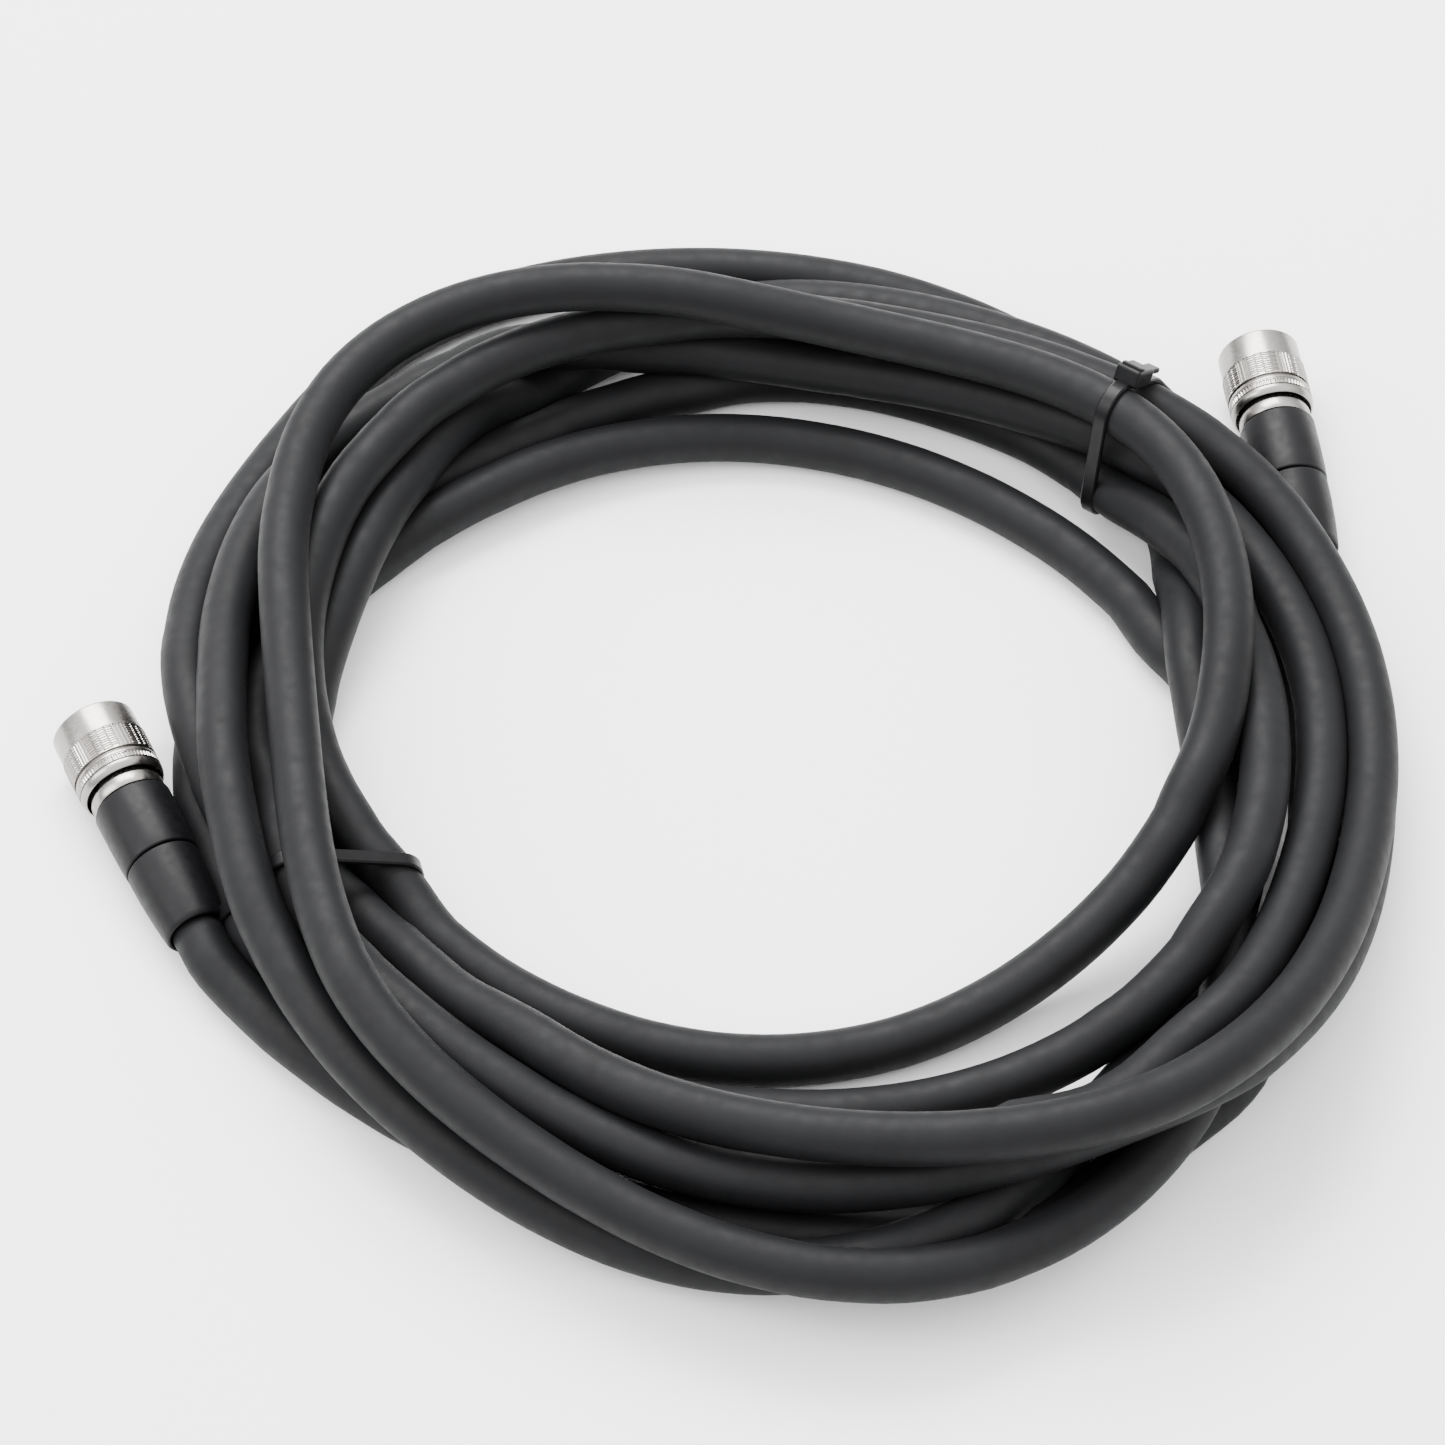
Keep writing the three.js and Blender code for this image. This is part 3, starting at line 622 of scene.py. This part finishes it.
JACKET_COLOR = (0.0056, 0.0057, 0.0063)
NICKEL_COLOR = (0.27, 0.257, 0.243)
GOLD_COLOR = (0.83, 0.58, 0.24)
PLUG_BLACK = (0.0035, 0.0035, 0.0041)
INSULATOR_BLACK = (0.016, 0.016, 0.017)
TIE_BLACK = (0.004, 0.004, 0.0045)
BLACK_SPECULAR = 0.13
JACKET = jacket_material()
NICKEL = nickel_material()
BACKSHELL_BLACK = black_material("backshell_black", PLUG_BLACK, 0.38, 0.5, 4000, 0.08)
BOOT_BLACK = black_material("boot_black", PLUG_BLACK, 0.42, 0.54, 2600, 0.14)
INSULATOR = black_material("insulator_black", INSULATOR_BLACK, 0.5, 0.62, 3000, 0.1)
TIE_NYLON = black_material("tie_nylon", TIE_BLACK, 0.3, 0.42, 2500, 0.1)
GOLD = gold_material()


def finish_piece(piece, mat, slot, body, *replaced):
    """Gives a piece its material and body, and hides the CAD nodes that it stands for. slot is not used."""
    piece.data.materials.append(mat)
    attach(piece, body)
    if replaced:
        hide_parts(*replaced)
    return piece


# The plugs

PLUG_SEGMENTS = 96
KNURL_SEGMENTS = 288
KNURL_STEP = 0.1
KNURL_START = 5.0
KNURL_END = 9.7
SECOND_KNURL = (10.9, 12.0)
KNURL_RADIUS = 7.15
SECOND_KNURL_RADIUS = 7.12
KNURL_DEPTH = 0.17
KNURLED_FROM = 6.9
KNURL_MARGIN = 0.15
SECOND_KNURL_MARGIN = 0.1

# The grip's panels round the sleeve, the share of each that has lengthwise cuts, its cuts and its cross rows
KNURL_PANELS = 6
LENGTHWISE_SHARE = 0.3
LENGTHWISE_CUTS = 4
PANEL_COLUMNS = 4
COLUMN_GAP = 0.1
ROWS_PER_MM = 2.2
CUT_SHARE = 0.45

# The pieces' sections, each point a radius and a place along the axis
SLEEVE_RIM = [(6.35, 0), (6.65, 0), *fillet(6.65, 0, 6.95, 0.35)]
SLEEVE_BAND = [(6.95, 0.35), (6.97, 4.85), (6.8, 4.9), (6.8, 5.0)]
SLEEVE_RING = [(6.8, 9.72), (6.8, 10.05), (7.0, 10.1), (7.06, 10.2), (7.06, 10.7), (6.9, 10.8), (6.9, 10.88)]
SLEEVE_REAR = [(6.9, 12.05), (6.9, 12.12), (7.04, 12.2), (7.05, 12.6), (6.96, 12.95), (6.72, 13.5)]
SLEEVE_BORE = [(6.6, SLEEVE_END), (6.5, SLEEVE_END), (6.5, 10.2), (5.9, 10.2), (5.9, 7.2), (6.35, 7.2)]
SHELL_SOCKET = [(0, 9.8), (4.65, 9.8), (4.65, 1.1), (4.75, 0.9), (4.85, 0.8), (5.1, 0.8), (5.2, 0.95)]
SHELL_STEP = [(5.2, 6.1), (5.6, 6.1), (5.6, 14.2)]
SHELL_COLLAR = [(5.95, 14.2), (6.1, 14.3), (6.15, 14.45), (6.15, 16.15), (6.05, 16.35)]
SHELL_BACK = [(5.95, METAL_END), (0, METAL_END)]
BARREL_SIDE = [(6.4, 22.5), (6.3, 26.5)]
BOOT_LIP = [(5.04, 43.1), (4.94, 43.3), (4.75, PLUG_LENGTH), (4.5, 43.35), (4.4, 43.2)]
BOOT_BORE = [(4.4, 39.9), (0, 39.9)]

BARREL_FRONT_RADIUS = 6.45
BARREL_REAR_RADIUS = 6.15
BOOT_RADIUS = 6.05
BOOT_TAPER = 0.0075
BOOT_TAPER_POWER = 1.85

# The contacts: how many on each ring, and the ring's radius
CONTACT_RINGS = ((9, 3.05), (3, 1.15))
CONTACT_RADIUS = 0.3
CONTACT_LENGTH = 7.6
CONTACT_DEPTH = 4.0


def knurl_depth(turn, radius, along):
    """Fine cuts round the grip, in panels with a group of lengthwise cuts between them."""
    if radius < KNURLED_FROM:
        return 0
    cut = False
    if KNURL_START + KNURL_MARGIN < along < KNURL_END - KNURL_MARGIN:
        share = (turn * KNURL_PANELS / (2 * math.pi)) % 1
        if share < LENGTHWISE_SHARE:
            cut = (share / LENGTHWISE_SHARE * LENGTHWISE_CUTS) % 1 < CUT_SHARE
        else:
            across = (share - LENGTHWISE_SHARE) / (1 - LENGTHWISE_SHARE) * PANEL_COLUMNS
            row = along * ROWS_PER_MM + 0.5 * (int(across) % 2)
            cut = row % 1 < CUT_SHARE or across % 1 < COLUMN_GAP
    elif SECOND_KNURL[0] + SECOND_KNURL_MARGIN < along < SECOND_KNURL[1] - SECOND_KNURL_MARGIN:
        cut = int(turn * KNURL_SEGMENTS / (2 * math.pi)) % 4 < 2
    return -KNURL_DEPTH if cut else 0


def sleeve_profile():
    """The coupling sleeve's section, fine where it is knurled."""
    end = KNURL_STEP / 10
    knurl = [(KNURL_RADIUS, float(s)) for s in np.arange(KNURL_START, KNURL_END + end, KNURL_STEP)]
    steps = np.arange(SECOND_KNURL[0], SECOND_KNURL[1] + end, KNURL_STEP)
    second = [(SECOND_KNURL_RADIUS, float(s)) for s in steps]
    return [*SLEEVE_RIM, *SLEEVE_BAND, *knurl, *SLEEVE_RING, *second, *SLEEVE_REAR, *SLEEVE_BORE]


def rounded_end(radius, along, edge, inwards):
    """Points of a rounded outer edge, from the face to the side. inwards is 1 at a front, -1 at a back."""
    points = []
    for k in range(5):
        t = 0.5 * math.pi * k / 4
        points.append((radius - edge + edge * math.sin(t), along + inwards * edge * (1 - math.cos(t))))
    return points


def dress_plug(side):
    """The detailed sleeve, shell, barrel and boot of one plug."""
    sleeve = lathe(f"grip_sleeve_{side}", side, sleeve_profile(), KNURL_SEGMENTS, knurl_depth)
    finish_piece(sleeve, NICKEL, "nickel", f"sleeve_{side}", f"coupling_sleeve_{side}")

    section = [*SHELL_SOCKET, *SHELL_STEP, *SHELL_COLLAR, *SHELL_BACK]
    shell = lathe(f"shell_{side}", side, section, PLUG_SEGMENTS)
    finish_piece(shell, NICKEL, "nickel", "root", f"plug_shell_{side}")

    front = rounded_end(BARREL_FRONT_RADIUS, BACKSHELL_START, 0.4, 1)
    back = rounded_end(BARREL_REAR_RADIUS, BACKSHELL_END, 0.35, -1)
    section = [(0, BACKSHELL_START), *front, *BARREL_SIDE, *reversed(back), (0, BACKSHELL_END)]
    barrel = lathe(f"barrel_{side}", side, section, PLUG_SEGMENTS)
    finish_piece(barrel, BACKSHELL_BLACK, "black_plastic", "root", f"backshell_{side}")

    steps = np.arange(0.35, 13.6, 0.6)
    taper = [(BOOT_RADIUS - BOOT_TAPER * s**BOOT_TAPER_POWER, RELIEF_START + s) for s in steps]
    front = rounded_end(BOOT_RADIUS, RELIEF_START, 0.25, 1)
    section = [(0, RELIEF_START), *front, *taper, *BOOT_LIP, *BOOT_BORE]
    boot = lathe(f"boot_{side}", side, section, PLUG_SEGMENTS)
    finish_piece(boot, BOOT_BLACK, "black_rubber", "root", f"strain_relief_{side}")


def dress_insert(side):
    """The carried-over insulator gets its plastic, and gold contacts on two rings, whose places are not
    taken from its holes.
    """
    node = frame["nodes"][f"contact_insert_{side}"]
    node.data.materials.clear()
    node.data.materials.append(INSULATOR)
    bm = bmesh.new()
    pin = {"cap_ends": True, "segments": 16, "radius1": CONTACT_RADIUS, "radius2": CONTACT_RADIUS}
    for count, ring_radius in CONTACT_RINGS:
        for i in range(count):
            turn = 2 * math.pi * (i + 0.5) / count
            made = bmesh.ops.create_cone(bm, depth=CONTACT_LENGTH, **pin)
            x, y = ring_radius * math.cos(turn), ring_radius * math.sin(turn)
            bmesh.ops.translate(bm, verts=made["verts"], vec=(x, y, INSERT_FRONT + CONTACT_DEPTH))
    mesh = bpy.data.meshes.new(f"contacts_{side}")
    bm.to_mesh(mesh)
    bm.free()
    contacts = linked(f"contacts_{side}", mesh)
    mesh.transform(plug_frame(side))
    finish_piece(contacts, GOLD, "nickel", "root")


for side in SIDES:
    dress_plug(side)
    dress_insert(side)

# The cable

cable_line = CABLE_LINE * MM
cable = tube("cable", cable_line, CABLE_RADIUS * MM, CABLE_SIDES)
finish_piece(cable, JACKET, "jacket", "root", "cable_coil", "cable_tail_left", "cable_tail_right")

# The cable ties

STRAP_WIDTH = 2.5
STRAP_THICKNESS = 1.0
STRAP_EDGE = 0.25
STRAP_BITE = 0.1

# A tie's head, cut-off stub and lip: size, edge, and place outwards and along the strap
TIE_BLOCKS = [
    ("head", (5.4, 4.6, 3.2), 0.5, 1.5, 0),
    ("stub", (5.0, 2.4, 0.95), 0.25, 1.9, 4.6),
    ("lip", (1.1, 4.0, 0.8), 0.25, 3.1, -1.2),
]


def crossing_points(origin, normal, reach, left_out):
    """Where the strands near the origin pass through a plane, left-out strands apart."""
    height = (CABLE_LINE - origin) @ normal
    points = []
    for i in np.nonzero(height[:-1] * height[1:] < 0)[0]:
        share = height[i] / (height[i] - height[i + 1])
        point = CABLE_LINE[i] + share * (CABLE_LINE[i + 1] - CABLE_LINE[i])
        if np.linalg.norm(point - origin) < reach and STRAND_NAMES[CABLE_STRAND[i]] not in left_out:
            points.append(point)
    return np.array(points)


def hull(points):
    """The convex hull of points in a plane, counter-clockwise."""
    points = sorted(map(tuple, points))

    def half(row):
        line = []
        for p in row:
            while len(line) > 1 and (
                (line[-1][0] - line[-2][0]) * (p[1] - line[-2][1])
                - (line[-1][1] - line[-2][1]) * (p[0] - line[-2][0])
            ) <= 0:
                line.pop()
            line.append(p)
        return line[:-1]

    return np.array(half(points) + half(points[::-1]))


def strap_outline(centres, radius, steps=220):
    """An even outline of a strap drawn tight round circles of this radius."""
    turn = np.linspace(0, 2 * math.pi, 48, endpoint=False)
    circle = radius * np.stack([np.cos(turn), np.sin(turn)], -1)
    corners = hull((centres[:, None] + circle[None]).reshape(-1, 2))
    corners = np.vstack([corners, corners[:1]])
    s = np.concatenate([[0], np.cumsum(np.linalg.norm(np.diff(corners, axis=0), axis=1))])
    t = np.linspace(0, s[-1], steps, endpoint=False)
    line = np.stack([np.interp(t, s, corners[:, k]) for k in range(2)], -1)
    for _ in range(3):
        line = (np.roll(line, 1, 0) + 2 * line + np.roll(line, -1, 0)) / 4
    return line


def rounded_block(name, size, edge):
    """A block with rounded edges about the origin, in mm."""
    bm = bmesh.new()
    bmesh.ops.create_cube(bm, size=1)
    for vert in bm.verts:
        vert.co = Vector((vert.co.x * size[0], vert.co.y * size[1], vert.co.z * size[2]))
    bmesh.ops.bevel(bm, geom=bm.edges[:], offset=edge, segments=3, affect="EDGES", profile=0.5)
    mesh = bpy.data.meshes.new(name)
    bm.to_mesh(mesh)
    bm.free()
    return mesh


def pixel_of(p):
    """Where points fall in the photograph."""
    off = p - CAMERA_PLACE
    depth = off @ VIEW
    across = np.stack([off @ IMAGE_RIGHT, -(off @ IMAGE_UP)], -1)
    return PHOTO_CENTRE + FOCAL_PIXELS * across / depth[..., None]


def add_blocks(bm, place, outward, forward):
    """Adds a tie's head, stub and lip to its mesh, where the strap passes this place."""
    across = np.cross(outward, forward)
    turn = Matrix((Vector(forward), Vector(across), Vector(outward))).transposed().to_4x4()
    for label, size, edge, rise, shift in TIE_BLOCKS:
        mesh = rounded_block(label, size, edge)
        centre = Vector(place + outward * rise + forward * shift)
        mesh.transform(Matrix.Diagonal((MM, MM, MM, 1)) @ Matrix.Translation(centre) @ turn)
        bm.from_mesh(mesh)
        bpy.data.meshes.remove(mesh)


def cable_tie(name, node, origin, normal, reach, left_out, head_pixel, stub_turn, turned_away=0):
    """A strap round the strands, with its head where the strap comes nearest a pixel. The head faces the
    camera, or turns away from it by turned_away at most, as a share of one."""
    normal = normal / np.linalg.norm(normal)
    level = np.cross([0, 0, 1], normal)
    level /= np.linalg.norm(level)
    up = np.cross(normal, level)
    centres = crossing_points(origin, normal, reach, left_out)
    flat = np.stack([(centres - origin) @ level, (centres - origin) @ up], -1)
    outline = strap_outline(flat, CABLE_RADIUS + STRAP_THICKNESS / 2 - STRAP_BITE)
    outline[:, 1] = np.maximum(outline[:, 1], (STRAP_THICKNESS / 2 - origin[2]) / up[2])
    along = np.roll(outline, -1, 0) - np.roll(outline, 1, 0)
    along /= np.linalg.norm(along, axis=1)[:, None]
    out = np.stack([along[:, 1], -along[:, 0]], -1)
    w, t, c = STRAP_WIDTH / 2, STRAP_THICKNESS / 2, STRAP_EDGE
    section = [
        (-w, -t + c), (-w + c, -t), (w - c, -t), (w, -t + c),
        (w, t - c), (w - c, t), (-w + c, t), (-w, t - c),
    ]
    verts = []
    for point, outward in zip(outline, out):
        for side, rise in section:
            q = point + outward * rise
            verts.append(origin + level * q[0] + up * q[1] + normal * side)
    count, size = len(outline), len(section)
    faces = []
    for i in range(count):
        here, there = i * size, (i + 1) % count * size
        for k in range(size):
            beside = (k + 1) % size
            faces.append((here + k, here + beside, there + beside, there + k))
    strap = new_piece(name, np.array(verts) * MM, faces)

    space = origin + outline[:, :1] * level + outline[:, 1:] * up
    facing = (out[:, :1] * level + out[:, 1:] * up) @ VIEW < turned_away
    away = np.linalg.norm(pixel_of(space) - head_pixel, axis=1)
    i = int(np.argmin(np.where(facing, away, np.inf)))
    outward = out[i, 0] * level + out[i, 1] * up
    forward = stub_turn * (along[i, 0] * level + along[i, 1] * up)
    bm = bmesh.new()
    bm.from_mesh(strap.data)
    add_blocks(bm, space[i], outward, forward)
    # Nothing of the tie reaches under the floor
    for vert in bm.verts:
        vert.co.z = max(vert.co.z, 0)
    bmesh.ops.recalc_face_normals(bm, faces=bm.faces)
    bm.to_mesh(strap.data)
    bm.free()
    sharp_by_angle(strap, 40)
    finish_piece(strap, TIE_NYLON, "tie_nylon", "root", node)


def strand_place(name, x, y):
    """The settled cable's node on a strand that lies nearest this pixel, and its direction there."""
    nodes = [i for i in range(1, len(CABLE_LINE) - 1) if STRAND_NAMES[CABLE_STRAND[i]] == name]
    rays = CABLE_LINE[nodes] - CAMERA_PLACE
    sight = ray(x, y)
    away = np.linalg.norm(rays - (rays @ sight)[:, None] * sight, axis=1)
    i = nodes[int(np.argmin(away))]
    return CABLE_LINE[i], CABLE_LINE[i + 1] - CABLE_LINE[i - 1]


place, direction = strand_place("front", 1094, 396)
cable_tie("upper_tie", "cable_tie_upper", place + np.array([-2, -12, -8.0]), direction, 30,
          ("inner_hoop",), (1131, 384), 1)
place, _ = strand_place("left_second", 365, 853)
cable_tie("lower_tie", "cable_tie_lower", place + np.array([-8, -8, -8.0]), np.array([0.26, -0.96, 0]), 28,
          ("front", "left_front", "tail"), (388, 890), -1, 0.8)

# Floor, light and camera


FLOOR_HALF = 6.0
FLOOR_GREY = 0.9


def floor():
    """A plain pale floor with a hardly visible unevenness in its tone."""
    bm = bmesh.new()
    bmesh.ops.create_grid(bm, x_segments=8, y_segments=8, size=FLOOR_HALF)
    mesh = bpy.data.meshes.new("floor")
    bm.to_mesh(mesh)
    bm.free()
    mat, tree, shader = material("pale_floor", grey(FLOOR_GREY), 0.9)
    shader.inputs["Specular IOR Level"].default_value = 0.1
    tone = ramp(tree, noise(tree, 3), [(0.3, grey(0.895)), (0.7, grey(0.905))])
    tree.links.new(tone, shader.inputs["Base Color"])
    mesh.materials.append(mat)
    piece = linked("floor", mesh)


def area_light(name, place, size, power):
    """A softbox that points at the object."""
    light = bpy.data.lights.new(name, "AREA")
    light.shape = "RECTANGLE"
    light.size, light.size_y = size
    light.energy = power
    lamp = linked(name, light)
    lamp.location = place
    lamp.rotation_euler = (-Vector(place)).to_track_quat("-Z", "Y").to_euler()


SKY_STRENGTH = 3.6


def light_scene():
    """A pale studio sky, brighter overhead, with two softboxes."""
    world = bpy.data.worlds.new("studio")
    bpy.context.scene.world = world
    world.use_nodes = True
    tree = world.node_tree
    background = tree.nodes["Background"]
    background.inputs["Strength"].default_value = SKY_STRENGTH
    place = tree.nodes.new("ShaderNodeTexCoord")
    parts = tree.nodes.new("ShaderNodeSeparateXYZ")
    tree.links.new(place.outputs["Generated"], parts.inputs["Vector"])
    sky = ramp(tree, parts.outputs["Z"], [(0.0, grey(0.28)), (0.35, grey(0.45)), (0.8, grey(1))])
    tree.links.new(sky, background.inputs["Color"])
    area_light("back_softbox", (-0.25, 0.7, 1.0), (0.9, 0.6), 40)
    area_light("left_softbox", (-1.0, -0.1, 0.8), (0.5, 0.9), 12)


def photo_camera():
    """The camera at the photograph's angle and distance."""
    camera = bpy.data.cameras.new("photo_camera")
    camera.sensor_width = SENSOR_MM
    camera.lens = FOCAL_PIXELS / PHOTO_SIZE * SENSOR_MM
    camera.clip_start = 0.05
    camera.clip_end = 20
    holder = linked("photo_camera", camera)
    holder.location = Vector(CAMERA_PLACE) * MM
    holder.rotation_euler = (math.pi / 2 - CAMERA_ELEVATION, 0, 0)
    bpy.context.scene.camera = holder


floor()
light_scene()
photo_camera()

bpy.context.view_layer.update()
